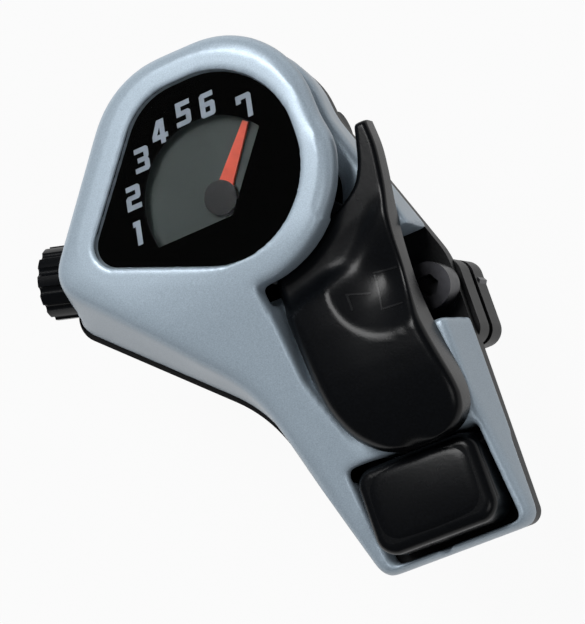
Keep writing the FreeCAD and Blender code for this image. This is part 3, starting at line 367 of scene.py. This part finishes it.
def lever_level(spot):
    """Height of the lever's upper face before its edges are rounded."""
    top = read_off(CREST, spot.y) - SIDE_FALL * max(SIDE_FROM - spot.x, 0.0) ** 2
    clear = read_off(BEZEL_CLEAR, math.degrees(math.atan2(spot.y, spot.x)))
    if top > NECK_LEVEL:
        top = between((NECK_LEVEL, top), eased((spot.length - clear) / BEZEL_SLOPE))
    reach = math.hypot((spot.x - DISH_CENTRE[0]) / DISH_HALF[0], (spot.y - DISH_CENTRE[1]) / DISH_HALF[1])
    if reach < 1 and top > DISH_FLOOR:
        top = between((DISH_FLOOR, top), reach ** DISH_CURVE)
    return top


def walled(shape, low):
    """Walls from a net's border down to a level, and a floor there, all put in place in metres."""
    border = [edge for edge in shape.edges if edge.is_boundary]
    walls = bmesh.ops.extrude_edge_only(shape, edges=border)["geom"]
    for vert in (part for part in walls if isinstance(part, bmesh.types.BMVert)):
        vert.co.z = low
    low_edges = [part for part in walls if isinstance(part, bmesh.types.BMEdge)]
    for face in shape.faces:
        face.smooth = True
    for edge in low_edges:
        edge.smooth = False
    bmesh.ops.triangle_fill(shape, use_beauty=True, edges=low_edges, normal=(0, 0, -1))
    bmesh.ops.recalc_face_normals(shape, faces=shape.faces)
    bmesh.ops.translate(shape, vec=HUB, verts=shape.verts)
    bmesh.ops.scale(shape, vec=(MM, MM, MM), verts=shape.verts)
    return shape


def crowded(place):
    """A share from nought to one for a net line from minus a half to a half, closer at both ends."""
    return (1 - math.cos(math.pi * (place + 0.5))) / 2


def lever_form():
    """The moulded lever: a net laid over its plan, then walls and a floor."""
    shape = bmesh.new()
    rows = ROW_CUTS * (len(LEVER_ROWS) - 1)
    bmesh.ops.create_grid(shape, x_segments=ACROSS_CUTS, y_segments=rows, size=0.5)
    bezel_edge, outer_edge = zip(*LEVER_ROWS)
    for vert in shape.verts:
        across, along = crowded(vert.co.x), crowded(vert.co.y)
        near, far = flow(bezel_edge, along), flow(outer_edge, along)
        spot = near.lerp(far, across)
        width = (far - near).length
        wide = eased((along - PAD_SPAN[0]) / (PAD_SPAN[1] - PAD_SPAN[0]))
        fall = rounding(across * width, min(between(BEZEL_EDGE_ROUND, wide), width / 2))
        fall += rounding((1 - across) * width, min(between(OUTER_EDGE_ROUND, wide), width / 2))
        for row, radius in ((LEVER_ROWS[-1], NOSE_ROUND), (LEVER_ROWS[0], TIP_ROUND)):
            end = Vector(row[0]).lerp(Vector(row[1]), across)
            fall += rounding((spot - end).length, radius)
        vert.co = (spot.x, spot.y, max(lever_level(spot) - fall, LEVER_LOW + LEVER_LEAST_WALL))
    return walled(shape, LEVER_LOW)


lever_mesh = meshed("thumb_form", lever_form())
thumb_form = fitted_piece("thumb_form", lever_mesh, GRIP_BLACK, "lever")
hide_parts("thumb_lever")

# Moulded sign in the thumb dish: plan corners measured from the main axle.
PUSH_SIGN = {
    "push_bracket": [(20.8, -18.9), (17.2, -18.4), (17.0, -23.9), (20.2, -24.2)],
    "push_angle": [(13.0, -22.5), (12.8, -20.1), (15.8, -21.0)],
}
SIGN_WIDTH = 0.26
SIGN_HEIGHT = 0.07
SIGN_CUTS = 12
ABOVE_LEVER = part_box("thumb_lever")[1][2] + 10 * MM


def lever_surface(spot):
    """Height of the lever's upper face at a place in plan, in metres."""
    return thumb_form.ray_cast(Vector((spot.x, spot.y, ABOVE_LEVER)), Vector((0, 0, -1)))[1].z


def raised_line(shape, start, end):
    """A thin bar from one plan corner to the next, laid on the lever."""
    start, end = ((HUB + Vector((*corner, 0))) * MM for corner in (start, end))
    bar = bmesh.new()
    bmesh.ops.create_cube(bar, size=1.0)
    long_edges = [edge for edge in bar.edges if abs(edge.verts[0].co.x - edge.verts[1].co.x) > 0.5]
    bmesh.ops.subdivide_edges(bar, edges=long_edges, cuts=SIGN_CUTS)
    length = (end - start).length + SIGN_WIDTH * MM
    bmesh.ops.scale(bar, vec=(length, SIGN_WIDTH * MM, SIGN_HEIGHT * MM * 2), verts=bar.verts)
    turn = Matrix.Rotation(math.atan2(end.y - start.y, end.x - start.x), 4, "Z")
    bmesh.ops.transform(bar, matrix=Matrix.Translation((start + end) / 2) @ turn, verts=bar.verts)
    for vert in bar.verts:
        vert.co.z += lever_surface(vert.co)
    laid = meshed("sign_bar", bar)
    shape.from_mesh(laid)
    bpy.data.meshes.remove(laid)


bpy.context.view_layer.update()
for name, corners in PUSH_SIGN.items():
    lines = bmesh.new()
    for start, end in zip(corners, corners[1:]):
        raised_line(lines, start, end)
    fitted_piece(name, meshed(name, lines), MARK_BLACK, "lever")

# Crowned face of the release button, over its plain drafted solid: plan sizes measured from the main axle.
BUTTON_MIDDLE = (11.95, -50.25)
BUTTON_HALF = (9.85, 6.7)
BUTTON_LOW, BUTTON_TOP = 17.2, 24.62
BUTTON_CORNER = 3.0
BUTTON_EDGE = 2.2
BUTTON_CROWN = 0.45
BUTTON_LEAN = 0.7
BUTTON_NET = (48, 36)
NEARLY_NOUGHT = 0.000001


def spread(place):
    """A place from minus one to one for a net line from minus a half to a half, closer at the borders."""
    return math.sin(math.pi * place)


def button_form():
    """A pillow with upright sides, whose rear leans in to clear the shell when it is pressed."""
    shape = bmesh.new()
    bmesh.ops.create_grid(shape, x_segments=BUTTON_NET[0], y_segments=BUTTON_NET[1], size=0.5)
    half = Vector(BUTTON_HALF)
    nook = half - Vector((BUTTON_CORNER, BUTTON_CORNER))
    for vert in shape.verts:
        across, along = spread(vert.co.x), spread(vert.co.y)
        share = max(abs(across), abs(along), NEARLY_NOUGHT)
        border = Vector((across, along)) * half / share
        if abs(border.x) > nook.x and abs(border.y) > nook.y:
            corner = Vector((math.copysign(nook.x, border.x), math.copysign(nook.y, border.y)))
            toward = border.dot(corner)
            spare = corner.length_squared - BUTTON_CORNER ** 2
            reach = toward + math.sqrt(toward ** 2 - border.length_squared * spare)
            border *= reach / border.length_squared
        spot = border * share
        fall = rounding((1 - share) * half.y, BUTTON_EDGE)
        fall += BUTTON_CROWN * ((spot.x / half.x) ** 2 + (spot.y / half.y) ** 2)
        lean = BUTTON_LEAN * max(-spot.y / half.y, 0.0)
        vert.co = (BUTTON_MIDDLE[0] + spot.x, BUTTON_MIDDLE[1] + spot.y + lean, BUTTON_TOP - fall)
    return walled(shape, BUTTON_LOW)


button_mesh = meshed("button_form", button_form())
fitted_piece("button_form", button_mesh, GRIP_BLACK, "button")


# Shell as it is moulded: the solid cover with softened edges, least by the window and most on the shoulder.
SHELL_NET = 0.42
SHELL_WELD = 0.001
SOFTEN_SHARE = 0.5
ALL_PASSES, EDGE_PASSES, SHOULDER_PASSES = 2, 10, 45
EDGE_FROM_LENS, SHOULDER_FROM_LENS = 1.3, 3.0
# Bounds of the shoulder: its lowest height, and places in plan measured from the main axle.
SHOULDER_LOW = 22.0
SHOULDER_LEFT, SHOULDER_FRONT, SHOULDER_FLANK = -1.5, 6.0, (13.5, -9.0)


def soften(shape, verts, passes):
    """Evens out some of a net's vertices a number of times."""
    for _ in range(passes):
        bmesh.ops.smooth_vert(
            shape, verts=verts, factor=SOFTEN_SHARE, use_axis_x=True, use_axis_y=True, use_axis_z=True)


def on_shoulder(spot):
    """Whether a place is on the shell's outer shoulder, clear of the lever's bay and the tail."""
    flank = spot.x > SHOULDER_FLANK[0] and spot.y > SHOULDER_FLANK[1]
    return spot.z > SHOULDER_LOW and (spot.x < SHOULDER_LEFT or spot.y > SHOULDER_FRONT or flank)


def even_net(holder):
    """Gives an object a net of even squares."""
    net = holder.modifiers.new("even_net", "REMESH")
    net.mode = "VOXEL"
    net.voxel_size = SHELL_NET * MM


def shell_form():
    """The cover on an even net, softened by zones."""
    cover, window = frame["nodes"]["top_cover"], frame["nodes"]["dial_lens"]
    blank = bmesh.new()
    blank.from_mesh(cover.data)
    bmesh.ops.remove_doubles(blank, verts=blank.verts, dist=SHELL_WELD * MM)
    even = evaluated_mesh("shell_blank", meshed("shell_blank", blank), even_net)
    shape = bmesh.new()
    shape.from_mesh(even)
    bpy.data.meshes.remove(even)
    from_lens = {}
    for vert in shape.verts:
        nearest = window.closest_point_on_mesh(vert.co)[1]
        from_lens[vert] = (nearest - vert.co).length / MM
    soften(shape, shape.verts, ALL_PASSES)
    soften(shape, [vert for vert in shape.verts if from_lens[vert] > EDGE_FROM_LENS], EDGE_PASSES)
    far = [vert for vert in shape.verts if from_lens[vert] > SHOULDER_FROM_LENS]
    soften(shape, [vert for vert in far if on_shoulder(vert.co / MM - HUB)], SHOULDER_PASSES)
    for face in shape.faces:
        face.smooth = True
    return shape


shell_mesh = meshed("shell_form", shell_form())
shell = fitted_piece("shell_form", shell_mesh, SILVER, "housing")
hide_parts("top_cover")


# Floor and light, in metres and watts.
FLOOR_HALF = 3.0
FLOOR_GAP = 0.0005
FLOOR_TONE = (0.3, 0.3, 0.3, 1)
FLOOR_WHITE_SHARE = 0.95
LAMP_AIM = Vector((HUB.x * MM, -0.01, 0.02))
LAMPS = {
    "key_lamp": {"place": (-0.03, 0.38, 0.73), "size": 0.38, "power": 5.6},
    "side_lamp": {"place": (0.40, -0.40, 0.55), "size": 0.30, "power": 0.7},
}
ROOM_TONE = (0.9, 0.92, 0.95, 1)
ROOM_STRENGTH = 0.14


def floor_white():
    """Paper that is seen as near white, in metal and glass too, and still takes the object's shadow."""
    made, tree, shader = finish("floor_white", roughness=0.9)
    shader.inputs["Base Color"].default_value = FLOOR_TONE
    white = tree.nodes.new("ShaderNodeEmission")
    rays = tree.nodes.new("ShaderNodeLightPath")

    def combined(operation, first, second=None):
        """A sum on one or two of the rays' signals."""
        made_sum = tree.nodes.new("ShaderNodeMath")
        made_sum.operation = operation
        tree.links.new(first, made_sum.inputs[0])
        if second:
            tree.links.new(second, made_sum.inputs[1])
        return made_sum

    shown = combined("MAXIMUM", rays.outputs["Is Glossy Ray"], rays.outputs["Is Transmission Ray"])
    seen = combined("MAXIMUM", rays.outputs["Is Camera Ray"], shown.outputs[0])
    share = combined("MULTIPLY", seen.outputs[0])
    share.inputs[1].default_value = FLOOR_WHITE_SHARE
    mix = tree.nodes.new("ShaderNodeMixShader")
    tree.links.new(share.outputs[0], mix.inputs["Fac"])
    tree.links.new(shader.outputs["BSDF"], mix.inputs[1])
    tree.links.new(white.outputs["Emission"], mix.inputs[2])
    tree.links.new(mix.outputs["Shader"], tree.nodes["Material Output"].inputs["Surface"])
    return made


def studio_floor():
    """A wide pale floor under the clamp."""
    shape = bmesh.new()
    bmesh.ops.create_grid(shape, x_segments=1, y_segments=1, size=FLOOR_HALF)
    mesh = meshed("studio_floor", shape)
    mesh.transform(Matrix.Translation((0, 0, cad_box[0][2] - FLOOR_GAP)))
    mesh.materials.append(floor_white())
    floor = bpy.data.objects.new("studio_floor", mesh)
    bpy.context.scene.collection.objects.link(floor)


def soft_lamp(name, place, size, power):
    """A large square lamp aimed at the shifter."""
    lamp = bpy.data.lights.new(name, "AREA")
    lamp.size = size
    lamp.energy = power
    holder = bpy.data.objects.new(name, lamp)
    holder.location = place
    holder.rotation_euler = (LAMP_AIM - Vector(place)).to_track_quat("-Z", "Y").to_euler()
    bpy.context.scene.collection.objects.link(holder)


studio_floor()
for name, lamp in LAMPS.items():
    soft_lamp(name, **lamp)
world = bpy.data.worlds.new("studio")
bpy.context.scene.world = world
world.use_nodes = True
room = world.node_tree.nodes["Background"]
room.inputs["Color"].default_value = ROOM_TONE
room.inputs["Strength"].default_value = ROOM_STRENGTH

# Camera at the photograph's viewing angle: its fitted axes, and the axle's pixel at the dial's level.
TO_CAMERA = Vector((0.361, -0.220, 0.906)).normalized()
RIGHT = Vector((0.8526, -0.3160, -0.4163))
UPWARDS = Vector((0.3778, 0.9230, 0.0731))
DISTANCE = 380.0
PIXELS_PER_MM = 6.9
HUB_PIXEL = (217.0, 197.0)
HUB_LEVEL = 32.5
FRAME_PIXELS = (585, 624)
SENSOR = 36.0


def photo_camera():
    """The camera, turned so that the axle's place on the dial falls on its pixel."""
    focal = PIXELS_PER_MM * DISTANCE
    across, down = (size / 2 - pixel for size, pixel in zip(FRAME_PIXELS, HUB_PIXEL))
    backward = (TO_CAMERA * focal + UPWARDS * down - RIGHT * across).normalized()
    sideways = UPWARDS.cross(backward).normalized()
    upright = backward.cross(sideways)
    eye = HUB + Vector((0, 0, HUB_LEVEL)) + TO_CAMERA * DISTANCE
    optics = bpy.data.cameras.new("photo_camera")
    optics.lens = focal / max(FRAME_PIXELS) * SENSOR
    optics.sensor_width = SENSOR
    camera = bpy.data.objects.new("photo_camera", optics)
    turned = Matrix((sideways, upright, backward)).transposed().to_4x4()
    camera.matrix_world = Matrix.Translation(eye * MM) @ turned
    bpy.context.scene.collection.objects.link(camera)
    return camera


bpy.context.scene.camera = photo_camera()
bpy.context.scene.view_settings.view_transform = "Standard"
